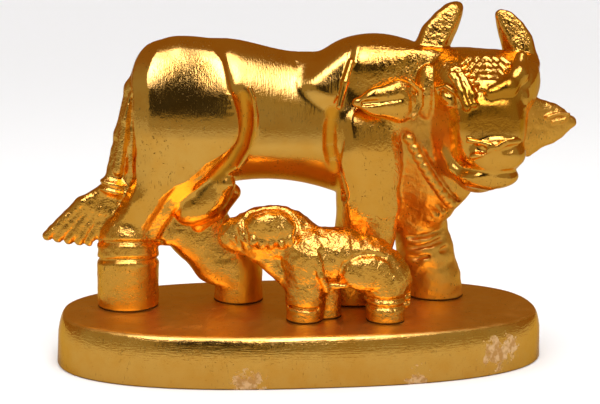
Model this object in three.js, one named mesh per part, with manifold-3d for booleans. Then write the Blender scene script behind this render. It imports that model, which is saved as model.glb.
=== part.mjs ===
// A cow with her calf on an oval plinth: a small gilded casting, 76 mm long over tail and ear.
// The cow stands with her head turned out over her near side, the calf stands under her with its head at the udder.
// Millimetres. +X is the way the cow faces, -Y her near side, +Z up; the origin is the centre of the plinth's underside.
import * as THREE from 'three';
import Module from 'manifold-3d';
import { mergeVertices } from 'three/addons/utils/BufferGeometryUtils.js';
import { edgeTable, triTable } from 'three/addons/objects/MarchingCubes.js';
import { SimplifyModifier } from 'three/addons/modifiers/SimplifyModifier.js';

// Plinth
const PLINTH_LENGTH = 70;
const PLINTH_WIDTH = 32;
const PLINTH_HEIGHT = 7;
const PLINTH_SQUARENESS = 2.48; // 2 is an ellipse, more is fuller at the corners
const PLINTH_TAPER = 0.45;
const PLINTH_RIM = 0.5;
const PLINTH_STEPS = 96;

// Cow
const TOP = PLINTH_HEIGHT;
const MID = 4.3; // Y of the cow's middle plane
const BARREL = 9.3; // radius of the trunk, seen from the side
const SLIM = 1.3; // the trunk is thinner across than it is deep
const HOOF = 4.3; // radius of a hoof
const SINK = 1.2; // the hooves are cast this far below the plinth's top, then cut flat at it
const COW_TRIANGLES = 6200;
const CALF_TRIANGLES = 2400;
const CELL = 0.6; // sampling step of the cast forms
const CLEARANCE = 0.35; // gap between the calf and the cow

// Forms. A form is a function (x, y, z) => distance to its surface, negative inside.

// A tapered limb through stations [x, y, z, radius, thinness across Y].
function limb(blend, ...stations) {
  const spans = stations.slice(1).map((b, i) => span(stations[i], b));
  return spans.length === 1 ? spans[0] : fuse(blend, ...spans);
}

function span([ax, ay, az, ar, at = 1], [bx, by, bz, br, bt = 1]) {
  const dx = bx - ax, dy = by - ay, dz = bz - az;
  const length2 = dx * dx + dy * dy + dz * dz;
  return (x, y, z) => {
    const px = x - ax, py = y - ay, pz = z - az;
    const t = Math.min(1, Math.max(0, (px * dx + py * dy + pz * dz) / length2));
    const thin = at + t * (bt - at);
    const qx = px - t * dx, qy = (py - t * dy) * thin, qz = pz - t * dz;
    const far = Math.sqrt(qx * qx + qy * qy + qz * qz) + 1e-6;
    const steep = Math.sqrt(qx * qx + qy * qy * thin * thin + qz * qz) / far + 1e-6;
    return (far - ar - t * (br - ar)) / steep;
  };
}

// An ellipsoid, turned in degrees about X, then Y, then Z.
function blob(centre, radii, turn = [0, 0, 0]) {
  const euler = new THREE.Euler(...turn.map(THREE.MathUtils.degToRad), 'ZYX');
  const m = new THREE.Matrix4().makeRotationFromEuler(euler).elements;
  const [cx, cy, cz] = centre;
  const [rx, ry, rz] = radii;
  return (x, y, z) => {
    const px = x - cx, py = y - cy, pz = z - cz;
    const u = (m[0] * px + m[1] * py + m[2] * pz) / rx;
    const v = (m[4] * px + m[5] * py + m[6] * pz) / ry;
    const w = (m[8] * px + m[9] * py + m[10] * pz) / rz;
    const near = Math.sqrt(u * u + v * v + w * w) + 1e-6;
    const steep = Math.sqrt((u * u) / (rx * rx) + (v * v) / (ry * ry) + (w * w) / (rz * rz)) + 1e-6;
    return (near * (near - 1)) / steep;
  };
}

// The half space behind a plane through a point, on the side away from its normal.
function behind(point, normal) {
  const n = new THREE.Vector3(...normal).normalize();
  const offset = n.dot(new THREE.Vector3(...point));
  return (x, y, z) => n.x * x + n.y * y + n.z * z - offset;
}

const soften = (a, b, k) => {
  const h = Math.max(k - Math.abs(a - b), 0);
  return Math.min(a, b) - (h * h) / (4 * k);
};
const fuse = (k, ...forms) => (x, y, z) => {
  let d = forms[0](x, y, z);
  for (let i = 1; i < forms.length; i++) d = soften(d, forms[i](x, y, z), k);
  return d;
};
const keep = (k, a, b) => (x, y, z) => -soften(-a(x, y, z), -b(x, y, z), k);
const carve = (k, a, tool) => (x, y, z) => -soften(-a(x, y, z), tool(x, y, z), k);

// A cut ring round an upright leg: depth at height, where the form `where` reaches.
function ring(form, depth, height, halfWidth, lean, where) {
  return (x, y, z) => {
    const d = form(x, y, z);
    if (where(x, y, z) > 1) return d;
    const off = (z - height - lean * x) / halfWidth;
    return d + depth * Math.exp(-off * off);
  };
}

const range = (n, f) => Array.from({ length: n }, (_, i) => f(i / (n - 1), i));
const mix = (a, b, t) => a.map((v, i) => v + t * (b[i] - v));

// The cow's head has a frame of its own: s to her left side as the face is seen, u up, v out of the face.
const HEAD = [24.8, -3, 40];
const HEAD_YAW = THREE.MathUtils.degToRad(-7);
const face = (s, u, v) => [
  HEAD[0] + s * Math.cos(HEAD_YAW) + v * Math.sin(HEAD_YAW),
  HEAD[1] + s * Math.sin(HEAD_YAW) - v * Math.cos(HEAD_YAW),
  HEAD[2] + u,
];
const YAW_DEGREES = THREE.MathUtils.radToDeg(HEAD_YAW);
const on = (s, u, v, ...rest) => [...face(s, u, v), ...rest];

function trunk() {
  const barrel = limb(2,
    [-16.2, MID, 36.4, BARREL - 0.7, SLIM],
    [-8, MID, 35.2, BARREL - 0.2, SLIM],
    [0, MID, 33.7, BARREL - 0.4, SLIM],
    [8, MID - 0.3, 34.7, BARREL + 0.4, SLIM]);
  const hump = blob([9.6, MID, 40.2], [7.6, 5, 5.2]);
  const rump = blob([-18.2, MID, 38.7], [5.4, 5.8, 6.1]);
  const chest = limb(2, [10, MID, 32, 8, 1.3], [14.4, MID - 0.3, 26, 5.4, 1.15], [15, MID + 0.6, 20.6, 2.6]);
  return fuse(2.5, barrel, hump, rump, chest);
}

function haunch() {
  return limb(1.5,
    [-16.6, 1.7, 37, 6.9, 1.45],
    [-16.7, 1.5, 32.6, 7, 1.5],
    [-18.7, 1.4, 27.8, 5.5, 1.35],
    [-21.9, 1.7, 22.6, 3.9, 1.15],
    [-24.3, 2.3, 17.2, 3.5, 1]);
}

function nearHindHoof() {
  return limb(1, [-25, 2.6, 16.4, HOOF], [-25, 2.6, TOP - SINK, HOOF + 0.1]);
}

function farHindLeg() {
  const leg = limb(1.5,
    [-15.8, 6.9, 36, 6.6, 1.4],
    [-16.8, 6.6, 30, 6, 1.3],
    [-17.4, 6.1, 24, 5, 1.1],
    [-14.6, 5.7, 17.4, 4.6, 1.05],
    [-11.6, 5.4, 13, 4.1],
    [-10.1, 5.1, 11.3, 3.9]);
  const sole = behind([-10, 5, 9], [-0.12, 0, -1]);
  const foot = limb(0.5, [-8.6, 4.9, 10, 2.5], [-8.6, 4.9, TOP - SINK, 2.5]);
  const web = limb(0.5, [-21.5, 3.4, 18.6, 2.6], [-16.5, 4.8, 18.2, 2.4]);
  return fuse(0.5, keep(0.8, fuse(0.5, leg, web), sole), foot);
}

function udder() {
  return fuse(0.8,
    blob([-13.4, 0.9, 22.6], [4.9, 3.4, 2.9], [0, -38, 0]),
    limb(0.5, [-11.8, 0.8, 20, 1], [-10.6, 0.6, 21.6, 0.8]));
}

function nearForeleg() {
  return limb(1.5,
    [7.8, 1.2, 33.6, 4.3, 1.2],
    [7.9, 0.9, 28, 4.8, 1.25],
    [9, 1.1, 22, 4.3, 1.15],
    [8.7, 1.5, 16, 4, 1.05],
    [8, 1.7, 11, 3.9],
    [8, 1.7, TOP - SINK, 4.1]);
}

function farForeleg() {
  return limb(1,
    [17, 5.5, 25, 4, 1.1],
    [18.5, 5.4, 18.5, 3.1],
    [19.6, 5.3, 14, 3.45],
    [20.4, 5.3, 9.5, 4],
    [20.8, 5.3, TOP - SINK, 4.5]);
}

// The tail hangs straight down the rump, is tied, and sweeps out behind in a fan of locks.
const TAIL_TIE = [-27, 3.2, 24.3];
const LOCKS = 7;
function tail() {
  const cord = limb(0.8,
    [-21, MID, 42, 1.8],
    [-23.9, MID - 0.3, 38, 1.3],
    [-25.5, 3.8, 31.6, 1.2],
    [...TAIL_TIE, 1.4]);
  const seat = limb(1, [-22, 3.6, 38, 2.4], [-23, 3.2, 31, 2.2], [-24.2, 3, 25.5, 1.4]);
  const tie = blob(TAIL_TIE, [1.9, 1.9, 0.8], [0, 20, 0]);
  const locks = range(LOCKS, (t) => {
    const tip = [-36.2 + 8.6 * t, 2.9, 16.2 + 1.1 * (1 - t) ** 2];
    const bend = mix([-31.2, 3.1, 21.9], [-26.8, 3, 20], t);
    return limb(0.5, [...TAIL_TIE, 1], [...bend, 1.1, 0.9], [...tip, 0.9, 0.8]);
  });
  return fuse(0.7, fuse(0.4, cord, seat), tie, fuse(0.3, ...locks));
}

function neck() {
  const top = limb(2, [9, MID, 38.5, 7, 1.25], [15.5, 2.4, 38.4, 6.2, 1.1], [22, 0, 38.4, 5.6]);
  const throat = limb(2,
    [14, 2, 34, 6.4, 1.1],
    [18, 0.6, 29, 5.3, 1.05],
    [18.9, 1, 24.4, 3.9, 1.1],
    [19, 1.6, 21, 2.4, 1.1]);
  const dewlap = limb(1, [22.4, -1, 29, 3.4], [22, 0.2, 24.6, 2.2], [19.6, 1.6, 20.4, 1.6]);
  return fuse(2.5, top, fuse(1.5, throat, dewlap));
}

function skull() {
  const crown = blob(face(0, -0.5, -0.4), [8, 6.6, 5], [0, 0, YAW_DEGREES]);
  const temples = fuse(1, ...bothSides((side) => blob(face(side * 4.9, 0.4, -1.2), [3, 4, 4.4], [0, 0, YAW_DEGREES])));
  const wedge = limb(1.5, on(0, -1.6, 1, 6.2), on(0, -5, 4, 5.4), on(0, -9, 5.6, 4.4));
  const jaw = limb(1.5, on(-4.4, -4.5, -1, 4.6), on(-1.6, -10.2, 3, 4));
  const bridge = behind(face(0, -4.5, 8.8), [Math.sin(HEAD_YAW), -Math.cos(HEAD_YAW), 0.04]);
  const muzzle = blob(face(0, -9.3, 6.2), [4.7, 4.3, 3], [0, 0, YAW_DEGREES]);
  const lip = blob(face(0, -12.3, 5.4), [4.1, 3.9, 2.2], [0, 0, YAW_DEGREES]);
  return fuse(0.8, keep(0.8, fuse(2, crown, temples, wedge, jaw), bridge), muzzle, lip);
}

const bothSides = (f) => [-1, 1].flatMap((side) => f(side));

function brows() {
  return fuse(0.5,
    limb(0.5, on(-3, -2.2, 7.6, 0.9), on(-4.4, -0.6, 6.4, 0.9), on(-5.8, 1.2, 4.2, 0.9)),
    limb(0.5, on(-1.4, -1.2, 8, 0.9), on(-3, 0.8, 6.6, 0.9), on(-4.4, 2.4, 4.4, 0.9)),
    limb(0.8, on(-0.6, -0.6, 7.8, 1), on(2.2, 0.6, 7, 1.2), on(4.2, 2.8, 4.4, 1.3)),
    blob(face(-0.4, 2, 5.2), [2.7, 1.6, 2.8], [-36, 0, YAW_DEGREES]));
}

function eyes() {
  return fuse(0.2, ...bothSides((side) => blob(face(side * 6, -1.6, 4.1), [1.5, 1.4, 0.9], [0, 0, side * 30])));
}

function horns() {
  return fuse(0.5,
    limb(1, [17.4, 1, 42.8, 2.7], [18.8, 0.5, 46.1, 2.25], [20, 0, 48.1, 1.8], [21, -0.6, 49.7, 1.2], [21.7, -1, 50.4, 0.6]),
    limb(1, [31.2, 1, 42.4, 2.5], [30.5, 0.5, 45.2, 2], [29.6, 0.3, 47, 1.7], [28.6, 0, 48.5, 1.15], [27.9, -0.4, 49.3, 0.6]));
}

function nearEar() {
  const leaf = fuse(0.6,
    limb(0.6, [11.4, -4.2, 37.1, 2.6, 1.6], [8.6, -4.5, 37.1, 1.8, 1.4], [6.3, -4.5, 37, 0.6]),
    limb(0.6, [13.6, -3.8, 38.6, 1, 1], [13.6, -3.8, 35.6, 1, 1]));
  return carve(0.4, leaf, limb(0.3, [6.8, -5.6, 37.3, 0.5], [12, -6.1, 38, 0.7]));
}

function farEar() {
  const leaf = limb(1, [32.4, 0, 33.4, 4.7, 2.3], [35.4, 0, 33.6, 2.9, 2], [38.6, 0, 33.8, 0.95, 1]);
  return carve(0.4, leaf, limb(0.3, [34.6, -2, 34.4, 0.6], [38, -1.2, 34, 0.5]));
}

// A collar of beads lies round the throat, over flat bands.
const BEADS = 10;
const COLLAR = new THREE.CatmullRomCurve3([
  new THREE.Vector3(13.4, -4.1, 32), new THREE.Vector3(15.5, -4.3, 28.3), new THREE.Vector3(17.4, -3.9, 25.6),
  new THREE.Vector3(19.7, -2.7, 22.9), new THREE.Vector3(21.5, -0.6, 21.6),
]);
function collar() {
  return fuse(0.4, ...range(BEADS, (t) => blob(COLLAR.getPoint(t).toArray(), [0.95, 0.9, 0.9])));
}

// The folded edge where the neck laps over the shoulder ends in a point.
function shoulderFold() {
  return limb(0.4, [6.4, 0, 43.2, 0.55], [5.3, -2.2, 38.5, 0.6], [4.8, -3.1, 36.2, 0.6], [6.6, -3, 38.4, 0.5]);
}

function cowForm() {
  const body = fuse(2, trunk(), neck());
  const nearHind = haunch();
  const nearFore = nearForeleg();
  const withLegs = fuse(2, body, nearFore, farForeleg(), farHindLeg());
  let form = fuse(0.7, withLegs, nearHind);
  form = fuse(0.5, form, nearHindHoof(), udder(), tail(), shoulderFold());
  form = fuse(0.7, form, skull());
  form = fuse(0.4, form, brows(), eyes(), horns(), nearEar(), farEar(), collar());
  form = ring(form, 0.45, 16.7, 0.5, 0, nearHindHoof());
  form = ring(form, 0.35, 14.7, 0.4, 0, nearHindHoof());
  form = ring(form, 0.4, 14.2, 0.45, 0.16, farForeleg());
  form = ring(form, 0.4, 12.2, 0.45, 0.16, farForeleg());
  const mouth = limb(0.3, on(-4.8, -10.6, 7.4, 0.5), on(-2.5, -11.2, 9.4, 0.5), on(2.5, -11.5, 9.4, 0.5), on(4.8, -11, 7.4, 0.5));
  return carve(0.5, form, mouth);
}

function calfForm() {
  const body = limb(1.5,
    [0, -6.3, 16.3, 3.9, 1.15],
    [4.2, -6.4, 15.9, 3.6, 1.15],
    [8.2, -6.6, 14.7, 3.6, 1.1],
    [10.4, -6.8, 12.8, 3.7, 1.1]);
  const head = fuse(1,
    blob([-4.9, -4.9, 19], [5.8, 3.1, 3.8], [0, 4, 0]),
    limb(1, [-7.5, -4.4, 18.8, 3], [-10.2, -3.6, 18.4, 2.5]));
  const ear = blob([-5.1, -7.6, 19.9], [3.9, 0.9, 2.6], [0, 4, 0]);
  const throat = limb(1, [-7, -5, 16.8, 1.8], [-3.2, -5.8, 12.6, 1.2]);
  const forelegs = [
    limb(1, [-0.4, -6.8, 15.5, 3.3], [-0.7, -7, 10.6, 2.5], [-0.8, -7, TOP - SINK, 2.5]),
    limb(1, [2.2, -5, 14, 2.4], [2.6, -5.2, TOP - SINK, 2.2]),
  ];
  const hindlegs = [
    limb(1, [10.4, -7.6, 12.4, 2.9], [10.6, -8, TOP - SINK, 2.6]),
    limb(1, [11, -5.6, 12.4, 2.6], [11.3, -5.2, TOP - SINK, 2.1]),
  ];
  const hip = blob([7.5, -9.4, 14.5], [3.4, 1, 2.6]);
  const strip = limb(0.6, [11.6, -6.6, 15.2, 1.4], [13.2, -6.4, 12.2, 1.2], [13.4, -6.4, 9, 1]);
  const fold = limb(0.5, [2.6, -9.1, 17.2, 0.6], [3.6, -9, 13.6, 0.6]);
  let form = fuse(1, body, head, throat, ...forelegs, ...hindlegs);
  form = fuse(0.4, form, ear, strip, fold, hip);
  form = ring(form, 0.4, 8.9, 0.35, 0, forelegs[0]);
  form = ring(form, 0.35, 9.6, 0.35, 0, hindlegs[0]);
  const rings = range(2, (_, i) => limb(0.3, [-9.2 - 1.1 * i, -7.4 + i, 19.6, 0.35], [-8.6 - 1.1 * i, -7.4 + i, 17, 0.35]));
  return carve(0.3, form, fuse(0.2, ...rings));
}

// Samples a form in a box and wraps it in triangles, thinned out to about the number wanted.
async function cast(form, low, high, triangles) {
  const count = low.map((v, i) => Math.ceil((high[i] - v) / CELL) + 1);
  const stride = [1, count[0], count[0] * count[1]];
  const field = new Float32Array(stride[2] * count[2]);
  const at = (i, axis) => low[axis] + i * CELL;
  for (let k = 0, n = 0; k < count[2]; k++)
    for (let j = 0; j < count[1]; j++)
      for (let i = 0; i < count[0]; i++, n++) field[n] = Math.max(form(at(i, 0), at(j, 1), at(k, 2)), TOP - SINK - at(k, 2));
  const corners = [[0, 0, 0], [1, 0, 0], [1, 1, 0], [0, 1, 0], [0, 0, 1], [1, 0, 1], [1, 1, 1], [0, 1, 1]];
  const edges = [[0, 1], [1, 2], [3, 2], [0, 3], [4, 5], [5, 6], [7, 6], [4, 7], [0, 4], [1, 5], [2, 6], [3, 7]];
  const step = corners.map((c) => c[0] * stride[0] + c[1] * stride[1] + c[2] * stride[2]);
  const positions = [];
  const index = [];
  const made = new Map();
  const vertex = (cell, base, edge) => {
    const [a, b] = edges[edge];
    const key = (base + step[a]) * 3 + corners[b].findIndex((v, axis) => v !== corners[a][axis]);
    if (!made.has(key)) {
      const fa = field[base + step[a]], fb = field[base + step[b]];
      const t = Math.min(0.98, Math.max(0.02, fa / (fa - fb)));
      made.set(key, positions.length / 3);
      for (let axis = 0; axis < 3; axis++)
        positions.push(at(cell[axis] + corners[a][axis] + t * (corners[b][axis] - corners[a][axis]), axis));
    }
    return made.get(key);
  };
  for (let k = 0; k < count[2] - 1; k++)
    for (let j = 0; j < count[1] - 1; j++)
      for (let i = 0; i < count[0] - 1; i++) {
        const base = i + j * stride[1] + k * stride[2];
        let code = 0;
        for (let c = 0; c < 8; c++) if (field[base + step[c]] < 0) code |= 1 << c;
        if (!edgeTable[code]) continue;
        for (let n = code * 16; triTable[n] !== -1; n += 3)
          index.push(...[0, 2, 1].map((m) => vertex([i, j, k], base, triTable[n + m])));
      }
  const geometry = new THREE.BufferGeometry();
  geometry.setAttribute('position', new THREE.Float32BufferAttribute(positions, 3));
  geometry.setIndex(index);
  const spare = positions.length / 3 - triangles / 2;
  return new SimplifyModifier().modify(geometry, Math.round(spare));
}

// Closed geometry as a solid, and back.
const wasm = await Module();
wasm.setup();

function solid(geometry) {
  const bare = geometry.clone();
  bare.deleteAttribute('normal');
  bare.deleteAttribute('uv');
  const merged = mergeVertices(bare, 1e-4);
  return new wasm.Manifold(new wasm.Mesh({
    numProp: 3,
    vertProperties: new Float32Array(merged.attributes.position.array),
    triVerts: new Uint32Array(merged.index.array),
  }));
}

function geometryOf(body) {
  const { vertProperties, triVerts } = body.getMesh();
  const geometry = new THREE.BufferGeometry();
  geometry.setAttribute('position', new THREE.BufferAttribute(vertProperties, 3));
  geometry.setIndex(new THREE.BufferAttribute(triVerts, 1));
  geometry.computeVertexNormals();
  return geometry;
}

// Cuts what stands on the plinth flat at its top.
function standing(geometry) {
  const below = new THREE.BoxGeometry(200, 200, 20).translate(0, 0, TOP - 10);
  return geometryOf(solid(geometry).subtract(solid(below)));
}

// The plinth: a low profile turned round, then pushed out from a circle to the squarer oval.
function plinthGeometry() {
  const half = PLINTH_LENGTH / 2;
  const outline = [
    [0, 0], [half - 0.2, 0], [half, 0.25], [half - PLINTH_TAPER * 0.45, PLINTH_HEIGHT * 0.6],
    [half - PLINTH_TAPER, PLINTH_HEIGHT - PLINTH_RIM],
    [half - PLINTH_TAPER - PLINTH_RIM * 0.3, PLINTH_HEIGHT - PLINTH_RIM * 0.3],
    [half - PLINTH_TAPER - PLINTH_RIM, PLINTH_HEIGHT], [0, PLINTH_HEIGHT],
  ].map(([r, z]) => new THREE.Vector2(r, z));
  const geometry = new THREE.LatheGeometry(outline, PLINTH_STEPS).rotateX(Math.PI / 2);
  const position = geometry.attributes.position;
  const power = 2 / PLINTH_SQUARENESS;
  for (let i = 0; i < position.count; i++) {
    const radius = Math.hypot(position.getX(i), position.getY(i));
    if (radius < 1e-6) continue;
    const c = position.getX(i) / radius, s = position.getY(i) / radius;
    const inset = half - radius;
    const across = radius < half * 0.5 ? radius * (PLINTH_WIDTH / PLINTH_LENGTH) : PLINTH_WIDTH / 2 - inset;
    position.setXY(i, radius * Math.sign(c) * Math.abs(c) ** power, across * Math.sign(s) * Math.abs(s) ** power);
  }
  return geometryOf(solid(geometry));
}

const gilt = (colour, roughness) => new THREE.MeshStandardMaterial({ color: colour, metalness: 1, roughness });

function named(name, geometry, material) {
  const mesh = new THREE.Mesh(geometry, material);
  mesh.name = name;
  return mesh;
}

const cow = cowForm();
const calfAlone = calfForm();
const calf = (x, y, z) => Math.max(calfAlone(x, y, z), CLEARANCE - cow(x, y, z));

const statue = new THREE.Group();
statue.add(
  named('plinth', plinthGeometry(), gilt(0xc9943a, 0.3)),
  named('cow', standing(await cast(cow, [-40, -17, TOP - 2 * SINK], [42, 14, 53], COW_TRIANGLES)), gilt(0xd29a3c, 0.25)),
  named('calf', standing(await cast(calf, [-15, -13, TOP - 2 * SINK], [17, 2, 25], CALF_TRIANGLES)), gilt(0xd59b3a, 0.3)),
);
export default statue;
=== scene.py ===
import math

import bpy
import numpy as np
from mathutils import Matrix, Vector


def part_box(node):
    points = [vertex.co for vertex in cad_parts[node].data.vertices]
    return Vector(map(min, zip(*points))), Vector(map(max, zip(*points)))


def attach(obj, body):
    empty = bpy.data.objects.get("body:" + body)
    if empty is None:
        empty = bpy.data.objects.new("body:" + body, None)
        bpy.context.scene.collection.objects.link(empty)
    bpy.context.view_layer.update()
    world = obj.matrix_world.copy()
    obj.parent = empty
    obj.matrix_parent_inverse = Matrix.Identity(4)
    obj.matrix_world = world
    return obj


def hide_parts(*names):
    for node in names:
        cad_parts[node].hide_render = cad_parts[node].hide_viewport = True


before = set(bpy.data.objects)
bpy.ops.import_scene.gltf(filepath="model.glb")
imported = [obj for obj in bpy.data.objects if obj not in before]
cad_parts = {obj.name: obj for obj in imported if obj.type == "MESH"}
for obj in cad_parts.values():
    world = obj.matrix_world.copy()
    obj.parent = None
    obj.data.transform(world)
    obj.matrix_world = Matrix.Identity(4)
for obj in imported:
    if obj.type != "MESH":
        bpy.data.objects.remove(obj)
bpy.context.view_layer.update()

import openvdb
from mathutils import Matrix, Vector

# Camera
# It faces the cow's near side through a long lens, from a little towards her tail and a little above.
MM = 0.001
VIEW_AZIMUTH = math.radians(-8.0)
VIEW_HEIGHT = math.radians(11.0)
VIEW_ROLL = math.radians(1.0)
VIEW_DISTANCE = 178 * MM
VIEW_CENTRE = Vector((-0.66, 0, 22.3)) * MM
VIEW_LENS = 75
VIEW_SENSOR = 36
VIEW_NEAREST = 5 * MM
VIEW_FARTHEST = 5

away = Vector((math.sin(VIEW_AZIMUTH) * math.cos(VIEW_HEIGHT),
               -math.cos(VIEW_AZIMUTH) * math.cos(VIEW_HEIGHT),
               math.sin(VIEW_HEIGHT)))
level = Vector((math.cos(VIEW_AZIMUTH), math.sin(VIEW_AZIMUTH), 0))
upward = away.cross(level)
right = level * math.cos(VIEW_ROLL) + upward * math.sin(VIEW_ROLL)
up = upward * math.cos(VIEW_ROLL) - level * math.sin(VIEW_ROLL)

lens = bpy.data.cameras.new("camera")
lens.lens = VIEW_LENS
lens.sensor_width = VIEW_SENSOR
lens.clip_start = VIEW_NEAREST
lens.clip_end = VIEW_FARTHEST
camera = bpy.data.objects.new("camera", lens)
camera.matrix_world = Matrix((right, up, away)).transposed().to_4x4()
camera.location = VIEW_CENTRE + away * VIEW_DISTANCE
bpy.context.scene.collection.objects.link(camera)
bpy.context.scene.camera = camera
bpy.context.scene.view_settings.view_transform = "Standard"

# Floor and light
# A plain pale table top, a soft box overhead, and the room that the gold mirrors: a warm back, a bright dome
# with a hotter middle, and a dark upright shape in front that widens to its foot. All else sees plain white.
FLOOR_SIZE = 4.0
FLOOR_COLOUR = (0.95, 0.94, 0.93)
# Painted shade: the table top as the gold mirrors it is darker than the camera sees it.
FLOOR_MIRRORED_SHADE = (0.42, 0.39, 0.34)
FLOOR_ROUGHNESS = 0.8
BOX_SIZE = 160 * MM
BOX_PLACE = Vector((0, -70, 260)) * MM
BOX_WATTS = 0.35


def join(kind, *sources, **settings):
    """A node beside its sources, with its first inputs linked, or set where a source is a plain number."""
    tree = next(source for source in sources if isinstance(source, bpy.types.NodeSocket)).id_data
    node = tree.nodes.new(kind)
    for key, value in settings.items():
        setattr(node, key, value)
    for socket, source in zip(node.inputs, sources):
        if isinstance(source, bpy.types.NodeSocket):
            tree.links.new(source, socket)
        else:
            socket.default_value = source
    return node.outputs[0]


def maths(operation, first, *others):
    """The values joined by one operation, from the left."""
    if not others:
        return join("ShaderNodeMath", first, operation=operation)
    for other in others:
        first = join("ShaderNodeMath", first, other, operation=operation)
    return first


def times(*values):
    return maths("MULTIPLY", *values)


def plus(*values):
    return maths("ADD", *values)


def less(*values):
    return maths("SUBTRACT", *values)


def largest(*values):
    return maths("MAXIMUM", *values)


def fade(value, low, high):
    """0 below low, 1 above high, smooth between."""
    return join("ShaderNodeMapRange", value, low, high, 0.0, 1.0, interpolation_type="SMOOTHSTEP")


def measured(operation, place, other):
    """One value from a place and a fixed vector: their DISTANCE or DOT_PRODUCT."""
    node = place.id_data.nodes.new("ShaderNodeVectorMath")
    node.operation = operation
    place.id_data.links.new(place, node.inputs[0])
    node.inputs[1].default_value = tuple(other)
    return node.outputs["Value"]


def tint(share, a, b):
    """Colour a where the share is 0, and b where it is 1."""
    tree = share.id_data
    node = tree.nodes.new("ShaderNodeMix")
    node.data_type = "RGBA"
    tree.links.new(share, node.inputs["Factor"])
    for socket, source in ((node.inputs["A"], a), (node.inputs["B"], b)):
        if isinstance(source, bpy.types.NodeSocket):
            tree.links.new(source, socket)
        else:
            socket.default_value = (*source, 1)
    return node.outputs["Result"]


def mesh_object(name, vertices, faces, material):
    mesh = bpy.data.meshes.new(name)
    mesh.from_pydata(vertices, [], faces)
    mesh.update()
    mesh.materials.append(material)
    made = bpy.data.objects.new(name, mesh)
    bpy.context.scene.collection.objects.link(made)
    return made


# Painted shade: glossy rays see the floor in a darker colour than the camera does.
def floor_material():
    material = bpy.data.materials.new("pale_floor")
    material.use_nodes = True
    tree = material.node_tree
    shader = tree.nodes["Principled BSDF"]
    shader.inputs["Roughness"].default_value = FLOOR_ROUGHNESS
    mirrored = tree.nodes.new("ShaderNodeLightPath").outputs["Is Glossy Ray"]
    tree.links.new(tint(mirrored, FLOOR_COLOUR, FLOOR_MIRRORED_SHADE), shader.inputs["Base Color"])
    return material


half = FLOOR_SIZE / 2
corners = [(-half, -half, 0), (half, -half, 0), (half, half, 0), (-half, half, 0)]
floor = mesh_object("floor", corners, [(0, 1, 2, 3)], floor_material())

box_light = bpy.data.lights.new("soft_box", "AREA")
box_light.size = BOX_SIZE
box_light.energy = BOX_WATTS
soft_box = bpy.data.objects.new("soft_box", box_light)
soft_box.location = BOX_PLACE
bpy.context.scene.collection.objects.link(soft_box)
soft_box.visible_glossy = False

SHOWN = (0.97, 0.97, 0.97)
BACKDROP = (0.25, 0.13, 0.04)
FRONT = (0.30, 0.25, 0.17)
ROOM_TURN = (-0.2, 0.3)

# A cap of light is given by its tilt forward from straight up and the angles where it fades, in degrees.
DOME = (2.8, 2.7, 4.2)
DOME_CAP = (30, 29, 25)
HOT = (6.5, 6.3, 9)
HOT_CAP = (33, 21, 11)

# The dark shape, in shares of a unit step outwards: its half widths, how fast they widen, and its heights.
DARK = (0.03, 0.025, 0.02)
DARK_ASIDE = 0.06
DARK_TIP = 0.035
DARK_FLARE = 0.3
DARK_FOOT_TOP = 0.68
DARK_FOOT_FLARE = 1.2
DARK_WIDEST = 0.25
DARK_EDGE = 0.02
DARK_AHEAD = (0.0, 0.06)
DARK_BASE = (0.14, 0.19)


def room_colour(tree):
    """The room as the gold mirrors it, by the direction ahead, beside and up."""
    place = tree.nodes.new("ShaderNodeTexCoord").outputs["Generated"]
    front = Vector((away.x, away.y, 0)).normalized()
    overhead = Vector((0, 0, 1))
    ahead = measured("DOT_PRODUCT", place, front)
    beside = measured("DOT_PRODUCT", place, level)
    rise = measured("DOT_PRODUCT", place, overhead)

    def cap(*angles):
        tilt, outer, inner = (math.radians(angle) for angle in angles)
        middle = front * math.sin(tilt) + overhead * math.cos(tilt)
        return fade(measured("DOT_PRODUCT", place, middle), math.cos(outer), math.cos(inner))

    room = tint(fade(ahead, *ROOM_TURN), BACKDROP, FRONT)
    lit = tint(cap(*HOT_CAP), tint(cap(*DOME_CAP), room, DOME), HOT)
    tip = plus(DARK_TIP, times(less(1.0, rise), DARK_FLARE))
    foot = times(less(DARK_FOOT_TOP, rise), DARK_FOOT_FLARE)
    width = maths("MINIMUM", DARK_WIDEST, largest(tip, foot))
    apart = less(maths("ABSOLUTE", plus(beside, DARK_ASIDE)), width)
    inside = less(1.0, fade(apart, -DARK_EDGE, DARK_EDGE))
    dark = times(inside, fade(ahead, *DARK_AHEAD), fade(rise, *DARK_BASE))
    return tint(dark, lit, DARK)


world = bpy.data.worlds.new("room")
bpy.context.scene.world = world
world.use_nodes = True
sky = world.node_tree
sky.nodes.clear()
sky_mirrored = sky.nodes.new("ShaderNodeLightPath").outputs["Is Glossy Ray"]
sky_light = join("ShaderNodeBackground", tint(sky_mirrored, SHOWN, room_colour(sky)))
sky.links.new(sky_light, sky.nodes.new("ShaderNodeOutputWorld").inputs["Surface"])

# Plinth
# A low oval block with a rounded rim, gilded over a smooth brown coat. The two castings are fixed on its top
# by their soles, and the leaf has rubbed through to the coat in places on its rim and side.
PLINTH_HIGH = np.array(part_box("plinth")[1]) / MM
TOP = PLINTH_HIGH[2]
PLINTH_SQUARENESS = 2.48
PLINTH_STEPS = 480
PLINTH_UNDERSIDE = [(8, 0), (2, 0)]
PLINTH_SIDE = [(0.2, 0), (0, 0.25), (0.2, TOP - 2.5), (0.34, TOP - 1.7), (0.52, TOP - 1), (0.7, TOP - 0.5),
               (0.92, TOP - 0.15), (1.25, TOP)]
PLINTH_TOP = [(inset, TOP) for inset in np.linspace(1.5, 15.5, 30)]
PLINTH_RUBS = (((25.6, -12.3, 3.2), 2), ((27.6, -11.5, 3.6), 1.4),
               ((-9.5, -15.9, 0.4), 2), ((14, -15.4, 0.2), 1.4))
RUB_EDGE = 0.4
RUB_RAGGEDNESS = 7.0

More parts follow.
